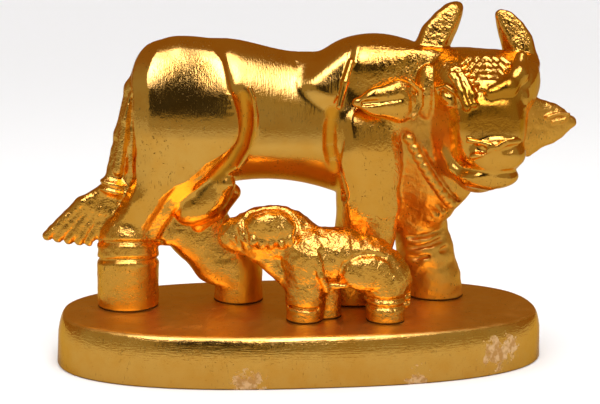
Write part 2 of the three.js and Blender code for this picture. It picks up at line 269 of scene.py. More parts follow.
# The leaf's colours, then its relief and roughness; the heights are shares of the relief's depth.
GOLD = (0.95, 0.55, 0.11)
DEEP_GOLD = (0.92, 0.49, 0.08)
# The redder gold also serves as painted reflection where gold mirrors gold.
WARM_GOLD = (0.90, 0.41, 0.03)
LEAF_EDGE = (1, 0.78, 0.42, 1)
# The dark speck colour is also the colour of painted shade.
SPECK_AND_SHADE = (0.10, 0.045, 0.012)
COAT = (0.55, 0.28, 0.08)
COAT_PALE = (0.78, 0.5, 0.24)
RELIEF_DEPTH = 0.16 * MM
FOLD_HEIGHT = 2.6
DENT_HEIGHT = 1.1
GRAIN_HEIGHT = 0.05
BRUSH_HEIGHT = 0.35
BRUSH_SHAPE = (5.0, 2.0, 0.35)
STREAK_SHAPE = (6.0, 4.0, 0.8)
LEAF_ROUGHNESS = 0.09
SPECK_AND_SHADE_ROUGHNESS = 0.3
SATIN_ROUGHNESS = 0.26
COAT_ROUGHNESS = 0.5
COAT_DULLING = 0.55


def group(name, values, results):
    """An empty node group that takes a place in millimetres and named values, and its two end nodes."""
    tree = bpy.data.node_groups.new(name, "ShaderNodeTree")
    tree.interface.new_socket("Place", in_out="INPUT", socket_type="NodeSocketVector")
    for label, value in values.items():
        socket = tree.interface.new_socket(label, in_out="INPUT", socket_type="NodeSocketFloat")
        socket.default_value = value
    for label, kind in results.items():
        tree.interface.new_socket(label, in_out="OUTPUT", socket_type=kind)
    return tree, tree.nodes.new("NodeGroupInput").outputs, tree.nodes.new("NodeGroupOutput").inputs


def noise(place, scale, detail=3.0, rough=0.55, twist=0.0):
    node = place.id_data.nodes.new("ShaderNodeTexNoise")
    place.id_data.links.new(place, node.inputs["Vector"])
    for label, value in (("Scale", scale), ("Detail", detail), ("Roughness", rough), ("Distortion", twist)):
        node.inputs[label].default_value = value
    return node.outputs[0]


def stretched(place, sizes):
    return join("ShaderNodeVectorMath", place, sizes, operation="MULTIPLY")


def leaf_relief():
    """Crinkles, fine grain and brush marks of the leaf, as a normal."""
    tree, given, made = group("leaf_relief", {"Crinkle": 1.0, "Brush": 0.5}, {"Normal": "NodeSocketVector"})
    place = given["Place"]
    ridges = less(noise(place, scale=0.5, detail=4, rough=0.6, twist=0.5), 0.5)
    folds = times(maths("ABSOLUTE", ridges), FOLD_HEIGHT)
    dents = times(noise(place, scale=1.4, rough=0.6), DENT_HEIGHT)
    grain = times(noise(place, scale=6, detail=2), GRAIN_HEIGHT)
    strokes = times(noise(stretched(place, BRUSH_SHAPE), scale=1),
                    times(given["Brush"], BRUSH_HEIGHT))
    crinkled = times(plus(folds, dents), given["Crinkle"])
    bump = tree.nodes.new("ShaderNodeBump")
    bump.inputs["Strength"].default_value = 1
    bump.inputs["Distance"].default_value = RELIEF_DEPTH
    tree.links.new(plus(crinkled, plus(strokes, grain)), bump.inputs["Height"])
    tree.links.new(bump.outputs["Normal"], made["Normal"])
    return tree


def leaf_tone():
    """Its colour and roughness: warmer and duller drifts, redder gold where asked, dark specks, painted shade
    in the speck colour, and the coat where it is rubbed.
    """
    tree, given, made = group("leaf_tone",
        {"Specks": 0.5, "Rubbed": 0.0, "Warm": 0.0, "Dull": 0.1, "Satin": 0.0, "Grime": 0.0},
        {"Colour": "NodeSocketColor", "Roughness": "NodeSocketFloat", "Metallic": "NodeSocketFloat"})
    place, rubbed = given["Place"], given["Rubbed"]
    drift = fade(noise(place, scale=0.35, detail=4, rough=0.6), 0.35, 0.7)
    gold = tint(given["Warm"], tint(drift, GOLD, DEEP_GOLD), WARM_GOLD)
    patch = times(fade(noise(place, scale=0.28, detail=2), 0.42, 0.58), given["Specks"])
    fleck = fade(noise(place, scale=2.6, rough=0.65), 0.64, 0.67)
    streak = fade(noise(stretched(place, STREAK_SHAPE), scale=1, detail=2), 0.67, 0.7)
    # Painted shade joins the dark specks here, with their colour and roughness.
    speck_and_shade = largest(times(fleck, patch), times(streak, patch), given["Grime"])
    coat = tint(fade(noise(place, scale=1.1), 0.4, 0.6), COAT, COAT_PALE)
    tree.links.new(tint(rubbed, tint(speck_and_shade, gold, SPECK_AND_SHADE), coat), made["Colour"])
    dull = fade(noise(place, scale=0.6, detail=4, rough=0.6), 0.4, 0.75)
    rough = plus(LEAF_ROUGHNESS, times(dull, given["Dull"]), times(speck_and_shade, SPECK_AND_SHADE_ROUGHNESS),
                 times(given["Satin"], SATIN_ROUGHNESS))
    tree.links.new(largest(rough, times(rubbed, COAT_ROUGHNESS)), made["Roughness"])
    tree.links.new(less(1.0, times(rubbed, COAT_DULLING)), made["Metallic"])
    return tree


RELIEF = leaf_relief()
TONE = leaf_tone()


def axes(place):
    """The place's x, y and z as single values."""
    split = place.id_data.nodes.new("ShaderNodeSeparateXYZ")
    place.id_data.links.new(place, split.inputs[0])
    return split.outputs


def gold_material(name, lying=False, **values):
    """Gold leaf; a value is a number or a function of the place, and lying turns the brush marks level."""
    material = bpy.data.materials.new(name)
    material.use_nodes = True
    tree = material.node_tree
    shader = tree.nodes["Principled BSDF"]
    shader.inputs["Specular Tint"].default_value = LEAF_EDGE
    place = stretched(tree.nodes.new("ShaderNodeTexCoord").outputs["Object"], (1 / MM, 1 / MM, 1 / MM))
    relief = tree.nodes.new("ShaderNodeGroup")
    relief.node_tree = RELIEF
    tone = tree.nodes.new("ShaderNodeGroup")
    tone.node_tree = TONE
    for key, value in values.items():
        label = key.capitalize()
        socket = (relief if label in relief.inputs else tone).inputs[label]
        if callable(value):
            tree.links.new(value(place), socket)
        else:
            socket.default_value = value
    marked = place
    if lying:
        marked = join("ShaderNodeCombineXYZ", *reversed(axes(place)))
    tree.links.new(marked, relief.inputs["Place"])
    tree.links.new(place, tone.inputs["Place"])
    tree.links.new(relief.outputs["Normal"], shader.inputs["Normal"])
    tree.links.new(tone.outputs["Colour"], shader.inputs["Base Color"])
    tree.links.new(tone.outputs["Roughness"], shader.inputs["Roughness"])
    tree.links.new(tone.outputs["Metallic"], shader.inputs["Metallic"])
    return material


def plinth_rubbed(place):
    """Rubbed places on the rim and side, as ragged patches about given points."""
    drift = times(less(noise(place, scale=0.9, detail=4, rough=0.7), 0.5), RUB_RAGGEDNESS)
    marks = []
    for spot, reach in PLINTH_RUBS:
        far = plus(measured("DISTANCE", place, spot), drift)
        marks.append(less(1.0, fade(far, reach - RUB_EDGE, reach + RUB_EDGE)))
    return largest(*marks)


def plinth_top(place):
    """1 on the top, which is less bright than the side."""
    return fade(axes(place)[2], TOP - 0.5, TOP - 0.1)


def superellipse(half_x, half_y, angle):
    c, s = np.cos(angle), np.sin(angle)
    power = 2 / PLINTH_SQUARENESS
    return half_x * np.sign(c) * np.abs(c) ** power, half_y * np.sign(s) * np.abs(s) ** power


def plinth_mesh():
    """Rings of points from under the plinth, up its side and over its top, each an inset and a height."""
    rings = PLINTH_UNDERSIDE + PLINTH_SIDE + PLINTH_TOP
    angle = np.linspace(0, 2 * np.pi, PLINTH_STEPS, endpoint=False)
    vertices = []
    for inset, z in rings:
        x, y = superellipse(PLINTH_HIGH[0] - inset, PLINTH_HIGH[1] - inset, angle)
        vertices += list(zip(x * MM, y * MM, np.full(PLINTH_STEPS, z * MM)))
    faces = []
    for ring in range(len(rings) - 1):
        low, high = ring * PLINTH_STEPS, (ring + 1) * PLINTH_STEPS
        for i in range(PLINTH_STEPS):
            j = (i + 1) % PLINTH_STEPS
            faces.append((low + i, low + j, high + j, high + i))
    last = (len(rings) - 1) * PLINTH_STEPS
    faces.append(tuple(range(PLINTH_STEPS))[::-1])
    faces.append(tuple(range(last, last + PLINTH_STEPS)))
    gilding = gold_material("plinth_gilding", lying=True, crinkle=0.12, brush=0.6, specks=0.5,
                            warm=0, dull=0.12, satin=plinth_top, rubbed=plinth_rubbed)
    return mesh_object("plinth_gilded", vertices, faces, gilding)


plinth = plinth_mesh()
plinth.data.shade_smooth()
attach(plinth, "root")
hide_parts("plinth")

# Cow
# One casting with her horns, ears, tail, udder and collar, gilded like the plinth. She stands with her head
# turned out over her near side, and her hooves are cut flat and fixed on the plinth's top.
CELL = 0.22
REACH = 3.2
SUNK = 0.15
FAR = 1e4
TINY = 1e-6
COW_TRIANGLES = 190000
COW_LOW = (-40, -17, TOP - 0.6)
COW_HIGH = (42, 14, 53)


class Form:
    """A shape as a signed distance, negative inside, with the box that holds it."""

    def __init__(self, low, high, distance):
        self.low = np.array(low, float)
        self.high = np.array(high, float)
        self.distance = distance

    def near(self, rows):
        """The part of a block of samples within reach of the shape."""
        cut = []
        for values, low, high in zip(rows, self.low, self.high):
            cut.append(slice(*np.searchsorted(values.ravel(), [low - REACH, high + REACH])))
        return tuple(cut)

    def sample(self, x, y, z, cut):
        """The distance in that part of the block alone."""
        return self.distance(x[cut[0]], y[:, cut[1]], z[:, :, cut[2]])


def span(a, b):
    """A tapered rod between stations (x, y, z, radius, thinness across Y)."""
    ax, ay, az, ar, at = tuple(a) + (1,) * (5 - len(a))
    bx, by, bz, br, bt = tuple(b) + (1,) * (5 - len(b))
    dx, dy, dz = bx - ax, by - ay, bz - az
    length2 = dx * dx + dy * dy + dz * dz

    def distance(x, y, z):
        px, py, pz = x - ax, y - ay, z - az
        t = np.clip((px * dx + py * dy + pz * dz) / length2, 0, 1)
        thin = at + t * (bt - at)
        qx, qy, qz = px - t * dx, (py - t * dy) * thin, pz - t * dz
        flat = qx * qx + qz * qz
        far = np.sqrt(flat + qy * qy) + TINY
        steep = np.sqrt(flat + (qy * thin) ** 2) / far + TINY
        return (far - ar - t * (br - ar)) / steep

    wide = max(ar, br)
    low = [min(ax, bx) - wide, min(ay, by) - wide, min(az, bz) - wide]
    high = [max(ax, bx) + wide, max(ay, by) + wide, max(az, bz) + wide]
    return Form(low, high, distance)


def limb(blend, *stations):
    """Rods through the stations, blended where they meet."""
    spans = [span(a, b) for a, b in zip(stations, stations[1:])]
    return spans[0] if len(spans) == 1 else fuse(blend, *spans)


def turned(turn):
    """Rows that carry a step in the piece's frame into a frame turned about X, then Y, then Z."""
    a, b, c = (math.radians(v) for v in turn)
    about_x = np.array([[1, 0, 0], [0, math.cos(a), -math.sin(a)], [0, math.sin(a), math.cos(a)]])
    about_y = np.array([[math.cos(b), 0, math.sin(b)], [0, 1, 0], [-math.sin(b), 0, math.cos(b)]])
    about_z = np.array([[math.cos(c), -math.sin(c), 0], [math.sin(c), math.cos(c), 0], [0, 0, 1]])
    return (about_z @ about_y @ about_x).T


def oval(parts, radii):
    """The distance from an oval, given a place's parts along its axes as shares of its radii."""
    near = np.sqrt(sum(part * part for part in parts)) + TINY
    steep = np.sqrt(sum((part / radius) ** 2 for part, radius in zip(parts, radii))) + TINY
    return near * (near - 1) / steep


def blob(centre, radii, turn=(0, 0, 0)):
    """An ellipsoid, turned in degrees about X, then Y, then Z."""
    rows = turned(turn) / np.array(radii, float)[:, None]

    def distance(x, y, z):
        px, py, pz = x - centre[0], y - centre[1], z - centre[2]
        return oval([row[0] * px + row[1] * py + row[2] * pz for row in rows], radii)

    wide = max(radii)
    return Form(np.array(centre) - wide, np.array(centre) + wide, distance)


def endless(distance):
    """A form that reaches everywhere."""
    return Form(np.full(3, -FAR), np.full(3, FAR), distance)


def behind(point, normal):
    """The half space behind a plane through a point, on the side away from its normal."""
    n = np.array(normal, float) / np.linalg.norm(normal)
    offset = float(n @ np.array(point, float))
    return endless(lambda x, y, z: n[0] * x + n[1] * y + n[2] * z - offset)


def soften(a, b, k):
    """The lesser of two distances, rounded over where they differ by less than k."""
    h = np.maximum(k - np.abs(a - b), 0)
    return np.minimum(a, b) - h * h / (4 * k)


def fuse(blend, *forms):
    """The forms joined, with fillets as wide as the blend."""
    def distance(x, y, z):
        field = np.full((x.size, y.size, z.size), REACH, np.float32)
        for form in forms:
            cut = form.near((x, y, z))
            here = field[cut]
            if here.size:
                field[cut] = soften(here, form.sample(x, y, z, cut), blend)
        return field

    low = np.min([form.low for form in forms], axis=0)
    high = np.max([form.high for form in forms], axis=0)
    return Form(low, high, distance)


def carve(blend, form, tool):
    """The form with the tool's shape cut out of it."""
    def distance(x, y, z):
        field = form.distance(x, y, z)
        cut = tool.near((x, y, z))
        here = field[cut]
        if here.size:
            field[cut] = -soften(-here, tool.sample(x, y, z, cut), blend)
        return field

    return Form(form.low, form.high, distance)


def keep(blend, form, other):
    """What the two forms share."""
    return Form(form.low, form.high,
                lambda x, y, z: -soften(-form.distance(x, y, z), -other.distance(x, y, z), blend))


def score(form, depth, half_width, off, where):
    """The form with a groove of even depth where off(x, z) is near zero, within reach of the form `where`."""
    def distance(x, y, z):
        field = form.distance(x, y, z)
        cut = where.near((x, y, z))
        here = field[cut]
        if here.size:
            groove = depth * np.exp(-(off(x[cut[0]], z[:, :, cut[2]]) / half_width) ** 2)
            field[cut] = here + np.where(where.sample(x, y, z, cut) < 1, groove, 0)
        return field

    return Form(form.low, form.high, distance)


def seam(*points):
    """How far a place lies, seen from the side, from the line through these points (x, z)."""
    def off(x, z):
        far = FAR
        for (ax, az), (bx, bz) in zip(points, points[1:]):
            dx, dz = bx - ax, bz - az
            t = np.clip(((x - ax) * dx + (z - az) * dz) / (dx * dx + dz * dz), 0, 1)
            far = np.minimum(far, np.hypot(x - ax - t * dx, z - az - t * dz))
        return far

    return off


GOLDEN_TURN = math.pi * (3 - math.sqrt(5))
CREASE_WAYS = 7


def crumpled(form, depth):
    """The form with the creases of soft foil, as deep as depth(x, y, z) says."""
    def distance(x, y, z):
        creases = 0
        for i in range(CREASE_WAYS):
            rise = 1 - (2 * i + 1) / CREASE_WAYS
            flat = math.sqrt(1 - rise * rise)
            turn = i * GOLDEN_TURN
            bent = np.sin(0.5 * (x * math.sin(turn) - z * math.cos(turn)) + i)
            place = x * (flat * math.cos(turn)) + y * (flat * math.sin(turn)) + z * rise
            creases = creases + np.abs(np.sin(place * (1.2 + 0.22 * i) + 1.4 * bent + 2 * i))
        return form.distance(x, y, z) + depth(x, y, z) * (creases / CREASE_WAYS - 2 / math.pi)

    return Form(form.low, form.high, distance)


def ramp(value, low, high):
    """0 below low, 1 above high, smooth between."""
    t = np.clip((value - low) / (high - low), 0, 1)
    return t * t * (3 - 2 * t)


def mix(a, b, t):
    return [v + t * (w - v) for v, w in zip(a, b)]


def steps(n):
    return [i / (n - 1) for i in range(n)]


# All in millimetres: MID is the Y of her middle, and legs run on by SINK below the plinth's top.
MID = 4.3
SINK = 1.2
BARREL_WIDEST = 31
BARREL_HALF = 6.9
BARREL_LEAN = 1.2
BARREL_TOP = 43.5
BARREL_BOTTOM = 24.9
RUMP_RISE = 1.8
BEVEL_SLOPE = math.radians(27)
HOOF = 4.3
HOOF_LINES = ((17.0, 0.5), (14.6, 0.45))
HEAD = (24.8, -3, 40)
HEAD_TURN = -7
HEAD_YAW = math.radians(HEAD_TURN)
FORELOCK_ROWS = 5
LOCKS = 7
TAIL_TIE = (-27, 3.2, 24.3)
BEADS = 10
BEADED_SHARE = 0.78
COLLAR = ((13.4, -4.1, 32), (15.5, -4.3, 28.3), (17.4, -3.9, 25.6), (19.7, -2.7, 22.9), (21.5, -0.6, 21.6))
COLLAR_LINES = (-3.4, -2.3, -1.25, 1.3)


def face(s, u, v, *rest):
    """A place on the head: s to the right as the face is seen, u up, v out of the face."""
    return (HEAD[0] + s * math.cos(HEAD_YAW) + v * math.sin(HEAD_YAW),
            HEAD[1] + s * math.sin(HEAD_YAW) - v * math.cos(HEAD_YAW),
            HEAD[2] + u) + rest


def head_way(s, u, v):
    """A direction on the head, in the same sense as face()."""
    return tuple(a - b for a, b in zip(face(s, u, v), HEAD))


def along(points, t):
    """A place at share t of a smooth curve through the points."""
    p = np.array([2 * np.array(points[0]) - points[1], *points, 2 * np.array(points[-1]) - points[-2]], float)
    last = len(points) - 1
    i = min(int(t * last), last - 1)
    f = t * last - i
    a, b, c, d = p[i:i + 4]
    return 0.5 * (2 * b + (c - a) * f
                  + (2 * a - 5 * b + 4 * c - d) * f ** 2
                  + (3 * b - a - 3 * c + d) * f ** 3)


def wall(centre, radii, lean, bend):
    """A standing bolster along X, bent back in plan: half an oval above its centre, leaning below."""
    def distance(x, y, z):
        pz = z - centre[2]
        v = (y - centre[1] + lean * np.minimum(pz, 0) - bend * (x - centre[0]) ** 2) / radii[0]
        return oval([v, np.maximum(pz, 0) / radii[1]], radii)

    return endless(distance)


def line(radius, *points):
    """A thin rod of one radius through the points, for grooves and ridges."""
    return limb(0.03, *[tuple(point) + (radius,) for point in points])


def bevelled(form, side, width):
    """The form inside the side, with a flat bevel cut where they meet; its width varies with x and z."""
    def distance(x, y, z):
        a, b = form.distance(x, y, z), side.distance(x, y, z)
        slope = (a + width(x, z)) * math.sin(BEVEL_SLOPE) + b * math.cos(BEVEL_SLOPE)
        return np.maximum(np.maximum(a, b), slope)

    return Form(form.low, form.high, distance)


def barrel():
    """The trunk between the legs: an oval section, taller above its widest line than below."""
    def distance(x, y, z):
        over = BARREL_TOP + RUMP_RISE * ramp(-x, 0.5, 11.5) - BARREL_WIDEST
        under = BARREL_WIDEST - BARREL_BOTTOM + 0.018 * (x + 5.5) ** 2
        half = BARREL_HALF + BARREL_LEAN + 0.006 * np.clip(x, -9.5, 0) ** 2
        up = z - BARREL_WIDEST
        size = np.where(up > 0, over, under)
        return oval([(np.abs(y - MID) + BARREL_LEAN) / half, up / size], [half, size])

    form = Form((-17, -6, 20), (14, 14, 48), distance)
    for point, normal in (((-10.5, -3.4, 0), (-0.5, -0.87, 0)),
                          ((-19.3, 0, 0), (-1, 0, 0)),
                          ((12, 0, 0), (1, 0, 0))):
        form = keep(2, form, behind(point, normal))
    return form


def trunk():
    """The barrel with the chest, the hump and the groin."""
    hump = blob((10.4, MID, 40.8), (8, 6, 5.2))
    groin = limb(1, (-12, 0.6, 29.2, 2.6), (-14.6, 0.9, 26, 2.6))
    chest = limb(2, (10, MID, 32, 8, 1.3), (14.4, MID - 0.3, 26, 5.6, 1.15), (15.4, MID + 0.6, 20.6, 3.4))
    return fuse(1.5, fuse(2, barrel(), chest), hump, groin)


def haunch():
    """The near thigh and rump: flat-sided, with a bevel down its front and back edges."""
    outline = limb(1.5,
        (-17.7, 2.6, 39.2, 6.6, 0.25),
        (-16.9, 2.6, 33.5, 7.0, 0.3),
        (-18.4, 2.2, 28, 5.4, 0.5),
        (-21.4, 1.9, 22.6, 3.3, 0.8),
        (-24.6, 2.3, 17.2, 3.7))
    near = wall((-9.2, 5.4, 31.7), (9.1, 13.9), 0.1, 0.0075)
    far = wall((-9.2, 2.4, 31.7), (9, 13.9), 0, -0.004)

    def width(x, z):
        beside = (x + 18.4) * 0.867 - (z - 28) * 0.498
        front = 2.6 * np.clip(beside / 1.5, 0, 1) * np.clip((31.5 - z) / 5, 0, 1)
        back = 1.9 * np.clip((-19 - x) / 3, 0, 1) * np.clip((z - 22) / 5, 0, 1)
        return front + back

    return bevelled(keep(1, outline, far), near, width)


def flank_groove():
    """The channel down the front of the haunch."""
    return line(1.05, (-9.7, -3.1, 39.9), (-9.2, -2.7, 37.8), (-8.8, -2.45, 35.5), (-8.8, -2.35, 33.3),
                (-9.3, -2.3, 31), (-10.8, -2.3, 28.4), (-12.8, -2.2, 26.2), (-14.8, -2.2, 24.2))


def flank_ridge():
    """The raised edge beside that channel."""
    return line(0.35, (-8.2, -2.3, 38.8), (-7.7, -2.65, 37.4), (-7.4, -2.75, 35), (-7.5, -2.75, 33),
                (-8.1, -2.7, 30.4), (-9.6, -2.3, 27.8))


def near_hind_hoof():
    cannon = limb(1, (-24.9, 2.6, 16.6, HOOF - 0.2), (-24.9, 2.6, 14.4, HOOF))
    block = limb(0.8, (-25, 2.6, 13.2, HOOF + 0.1), (-25, 2.6, TOP + 0.6, HOOF))
    foot = limb(0.4, (-25, 2.6, TOP + 1, HOOF - 0.1), (-25, 2.6, TOP - SINK, HOOF - 0.6))
    return fuse(0.5, cannon, block, foot)


def far_hind_leg():
    """It bends forward under her, with two folds across the hock and a web to the near leg."""
    leg = limb(1.5,
        (-15.8, 5.8, 36, 6.6, 1.4),
        (-16.8, 5.7, 30, 6, 1.3),
        (-17.4, 6.1, 24, 5, 1.1),
        (-14.8, 5.7, 17.4, 4.4, 1.05),
        (-11.2, 5.4, 13, 4.2),
        (-9.4, 5.1, 11.2, 4.0))
    front = behind((-11.5, 1.5, 12), (-0.1, -1, 0.12))
    sole = behind((-10, 5, 9), (-0.12, 0, -1))
    foot = limb(0.5, (-8.9, 4.7, 10, 3.4), (-8.9, 4.7, TOP - SINK, 3.7))
    web = limb(0.5, (-21.5, 3.4, 18.2, 2.7), (-16.5, 4.8, 17.6, 2.6))
    folded = carve(0.4, keep(0.8, keep(1.2, fuse(0.5, leg, web), front), sole),
                   fuse(0.2, line(0.35, (-14.6, 1.4, 13.1), (-11, 1.2, 13.8), (-7.6, 1.4, 15)),
                        line(0.3, (-15.4, 1.4, 15.3), (-12, 1.2, 16), (-8.6, 1.6, 17))))
    return fuse(0.4, folded, foot)


def udder():
    bag = keep(1, blob((-14.2, 1.1, 22.7), (5.0, 3.4, 2.9), (0, -40, 0)),
               behind((-14.4, -1.7, 22.6), (0.1, -1, 0.1)))
    return fuse(0.5,
        bag,
        limb(0.5, (-10.2, 1.2, 23.6, 1.2), (-12.2, 1.3, 21, 1.25), (-15, 1.7, 18.9, 1.2)),
        blob((-11.4, -0.4, 25.1), (1.5, 1.3, 1.5)))


def near_foreleg():
    outline = limb(1.5,
        (8.9, 1.2, 33.6, 4.6, 0.6),
        (9.0, 0.9, 28, 4.6, 0.6),
        (9.4, 1.1, 22, 4.2, 0.8),
        (9.2, 1.5, 17.5, 4.1, 0.9),
        (8.4, 1.7, 11, 3.9),
        (8.2, 1.7, TOP - SINK, 4.1))
    return bevelled(outline, wall((9, 8.2, 30), (12, 12), 0.1, 0.01), lambda x, z: 0.9)


def shoulder_groove():
    return line(0.9, (3.6, -2.9, 36.4), (3.1, -2.6, 33.5), (3.1, -2.5, 30.5), (3.9, -2.3, 27),
                (4.9, -2, 23.6))


def far_foreleg():
    leg = limb(1,
        (17, 5.5, 25, 4.2, 1.1),
        (17.9, 5.4, 18.5, 4),
        (19.1, 5.3, 14, 4),
        (20.4, 5.3, 9.5, 4),
        (20.8, 5.3, TOP - SINK, 4.5))
    wrinkles = [line(0.35, (16, 2.2, z - 0.5), (18.6, 1.6, z), (21.6, 2, z + 1.1))
                for z in (16.9, 15.3, 13.7)]
    return carve(0.5, leg, fuse(0.2, *wrinkles))


def tail():
    """It hangs down the rump to a double tie, and fans out below it in locks."""
    cord = limb(0.8,
        (-21, MID, 42, 1.8),
        (-23.9, MID - 0.3, 38, 1.3),
        (-25.5, 3.8, 31.6, 1.2),
        TAIL_TIE + (1.4,))
    seat = limb(1, (-22, 3.6, 38, 2.4), (-23, 3.2, 31, 2.2), (-24.2, 3, 25.5, 1.4))
    spine = limb(0.4, (-24.2, 2.4, 37, 0.5), (-25.1, 2.2, 33.8, 0.6), (-26.3, 1.8, 26.7, 0.7))
    tie = fuse(0.2,
        blob((-27, 2.7, 24.7), (1.9, 1.6, 0.6), (0, 14, 0)),
        blob((-27.1, 2.6, 23.7), (2, 1.6, 0.55), (0, 14, 0)))
    locks = []
    for t in steps(LOCKS):
        tip = (-36.2 + 8.8 * t, 2.9, 16.2 + 1.1 * (1 - t) ** 2)
        bend = mix((-31.4, 3.1, 21.9), (-26.4, 3, 20), t)
        locks.append(limb(0.5, TAIL_TIE + (0.9,), (*bend, 0.85, 0.8), tip + (0.75, 0.8)))
    filler = blob((-25.6, 3, 23.9), (1.7, 1.2, 1.7))
    web = [limb(0.5, TAIL_TIE + (0.8,), (-34.6 + 7.4 * t, 3.4, 17.2 + 0.7 * (1 - t), 1.0, 0.7))
           for t in steps(4)]
    return fuse(0.6, fuse(0.4, cord, seat, spine, filler), tie, fuse(0.2, *locks, *web))


def neck():
    """The neck turns out to the head, flat above and on its near side, over the throat and the dewlap."""
    top = limb(1.5, (9, MID, 38.5, 6.8, 1.25), (15.5, 2.2, 38, 7.2, 1.1), (22, 0, 38.2, 6.4))
    top = keep(0.8, top, behind((15, -2.6, 40), (-0.14, -1, 0.12)))
    top = keep(1.2, top, behind((15, 3, 44.4), (0.02, 0.1, 1)))
    throat = limb(2,
        (14.6, 2.2, 34, 6.2, 1.1),
        (18, 0.8, 29, 5.0, 1.05),
        (18.9, 1, 24.4, 3.9, 1.1),
        (19, 1.6, 21, 2.4, 1.1))
    dewlap = limb(1, (22.4, -1, 29, 3.4), (22, 0.2, 24.6, 2.2), (19.6, 1.6, 20.4, 1.6))
    return fuse(1.5, top, fuse(1.5, throat, dewlap))


def skull():
    """A wedge of flat planes with the muzzle and the lower lip on its end."""
    crown = blob(face(-0.5, -0.2, -0.8), (8.0, 6.2, 5.6), (0, 0, HEAD_TURN))
    poll = limb(1.5, face(-5.2, 2.6, -0.8, 2.4), face(-0.6, 1.8, -0.2, 2.9), face(5.4, 2.5, -0.6, 2.2))
    brow = limb(1.5, face(-4.4, -0.6, 2.0, 3.8), face(0, -0.4, 3.0, 4.0), face(4.2, -0.1, 2.4, 3.6))
    snout = limb(1.5, face(-0.6, -2.4, 2.2, 6.6), face(-0.4, -6, 4.2, 5.6), face(-0.2, -8.4, 5.0, 4.8))
    jaw = limb(1.5, face(-4.8, -4.5, -1, 4.6), face(-2.8, -9, 1.6, 4.3), face(-1, -11.4, 3.6, 3.9))
    block = fuse(1.2, crown, poll, brow, snout, jaw)
    for blend, point, normal in ((0.6, (0, -5, 8.8), (0.02, 0.05, 1)),
                                 (0.9, (-4.8, -4, 8.5), (-0.906, -0.075, 0.415)),
                                 (0.9, (4.0, -4, 8.5), (0.898, -0.059, 0.437)),
                                 (0.9, (0, -2.7, 8.8), (0, 0.5, 0.866)),
                                 (1.2, (0, 0.2, 6.9), (0, 0.77, 0.64)),
                                 (0.8, (0, 3.75, 0), (0, 1, 0.15))):
        block = keep(blend, block, behind(face(*point), head_way(*normal)))
    muzzle = keep(0.8, blob(face(0.45, -9.3, 5.6), (4.6, 5.2, 3.1), (0, 0, HEAD_TURN)),
                  behind(face(0, -9, 10.0), head_way(0.03, -0.08, 1)))
    lip = keep(0.6, blob(face(-0.2, -12.5, 5.2), (4.5, 4.6, 1.9), (0, 0, HEAD_TURN)),
               behind(face(0, -12.4, 9.3), head_way(0.05, -0.3, 1)))
    edge = limb(0.5, face(-5.7, -9.4, 4.4, 0.8), face(-4.7, -11.6, 5.8, 0.8), face(-3, -12.9, 7.2, 0.7),
                face(0, -13.4, 7.6, 0.8))
    return fuse(0.5, block, muzzle, lip, edge)


def forehead(u):
    """How far out of the face the brow slope lies at height u."""
    return 6.9 - 1.2 * max(u - 0.2, 0) - 0.62 * min(u - 0.2, 0)


def brows():
    """Two fine ridges over the left eye, a heavy one over the right, and a ring of small balls as a curl."""
    left_outer = limb(0.4, face(-5.2, 1.2, 6.3, 0.6), face(-4.4, -0.9, 7.7, 0.6), face(-3.7, -2.8, 8.7, 0.55))
    left_inner = limb(0.4, face(-3.9, 0.8, 6.6, 0.5), face(-3.0, -1.2, 7.9, 0.55), face(-2.7, -2.4, 8.5, 0.5))
    right = limb(0.8, face(4.2, 3.6, 3.9, 0.9), face(3.6, 1.4, 5.5, 1.2), face(1.9, -0.3, 6.9, 1.25),
                 face(-0.4, -1.0, 7.6, 0.9))
    ring = [face(-5.0 + 0.75 * math.cos(a), 1.4 + 0.75 * math.sin(a), 6.3 - 0.6 * math.sin(a))
            for a in np.linspace(0, 5, 7)]
    curl = fuse(0.2, *[blob(place, (0.42, 0.42, 0.42)) for place in ring])
    return fuse(0.3, left_outer, left_inner, right, curl)


def forelock():
    """Rows of small leaf-like tufts on the brow, each row narrower than the one above."""
    leaves = []
    for row in range(FORELOCK_ROWS):
        u = 3.4 - 0.74 * row
        wide = 3.1 - 0.52 * row
        for side in (-1, 1):
            for part in range(3):
                start = -0.6 + side * (0.1 + part * wide / 3)
                end = start + side * (0.3 + wide / 3.2)
                root = face(start, u, forehead(u) + 0.3, 0.42)
                tip = face(end, u - 0.85, forehead(u - 0.85) + 0.4, 0.26)
                leaves.append(limb(0.1, root, tip))
    return fuse(0.05, *leaves)


def eyes():
    """Almond eyes with raised lids; left and right are as the face is seen."""
    left_ball = blob(face(-5.9, -1.9, 5.6), (1.3, 0.9, 0.75), (0, 35, -40))
    left_lids = fuse(0.15,
        line(0.36, face(-7.3, -0.8, 4.6), face(-6.2, -0.3, 5.9), face(-4.9, -1.2, 7.0),
             face(-4.5, -2.6, 7.3)),
        line(0.3, face(-7.3, -0.8, 4.6), face(-6.8, -2.0, 4.9), face(-5.8, -3.0, 5.9),
             face(-4.5, -2.6, 7.3)))
    right_ball = blob(face(4.3, -1.7, 5.9), (0.9, 0.9, 1.1), (0, 0, 40))
    right_lids = fuse(0.15,
        line(0.3, face(3.0, -2.6, 7.2), face(3.9, -0.9, 6.6), face(5.2, -0.3, 5.0)),
        line(0.28, face(3.0, -2.6, 7.2), face(4.4, -3.0, 6.4), face(5.6, -1.8, 4.6)))
    return fuse(0.2, left_ball, left_lids, right_ball, right_lids)


